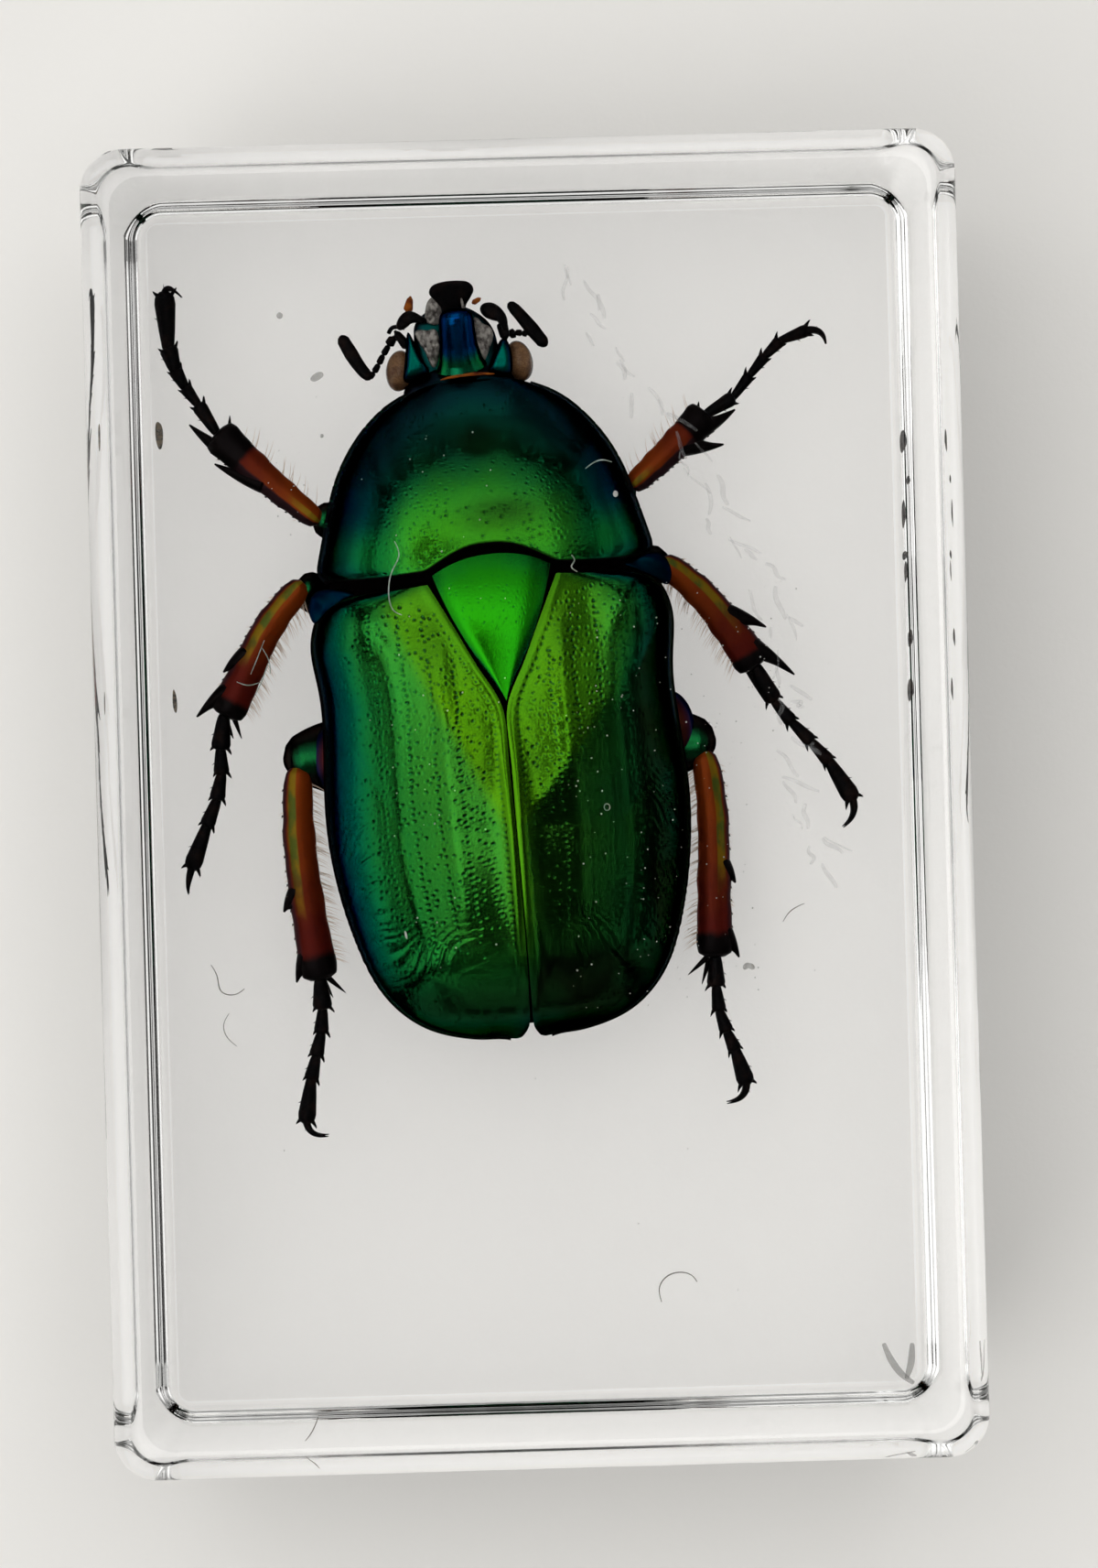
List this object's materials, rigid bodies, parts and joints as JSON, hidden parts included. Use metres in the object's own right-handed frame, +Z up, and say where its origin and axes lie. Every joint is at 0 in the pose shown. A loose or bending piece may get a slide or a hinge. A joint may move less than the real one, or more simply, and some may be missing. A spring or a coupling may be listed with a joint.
{
  "type": "insect in resin block",
  "caption": "Clear cast resin block with rounded rims and leaning walls, holding a horned metallic green flower beetle with its legs and antennae spread; lies flat on its back face.",
  "frame": {"origin": "centre of the flat back face that the block lies on", "axes": "+Z up, out of the big front face that the beetle is seen through; +Y along the block's length, towards the beetle's head; +X across the block, to the right when looking down on it"},
  "size_m": [0.0396, 0.06, 0.02],
  "materials": {
    "resin": "clear casting resin, polished smooth, with faint flow lines, specks and hairs inside",
    "cuticle": "metallic leaf green beetle cuticle, turning teal and blue-black towards the steep edges, with fine pits",
    "leg_chitin": "glossy orange-red chitin with a golden green upper edge",
    "dark_chitin": "glossy black-brown chitin",
    "eye": "amber-brown faceted eye",
    "hair": "pale straw-coloured fine hairs and fibres"
  },
  "bodies": {
    "root": {"resin_block": "resin"}
  },
  "joints": []
}
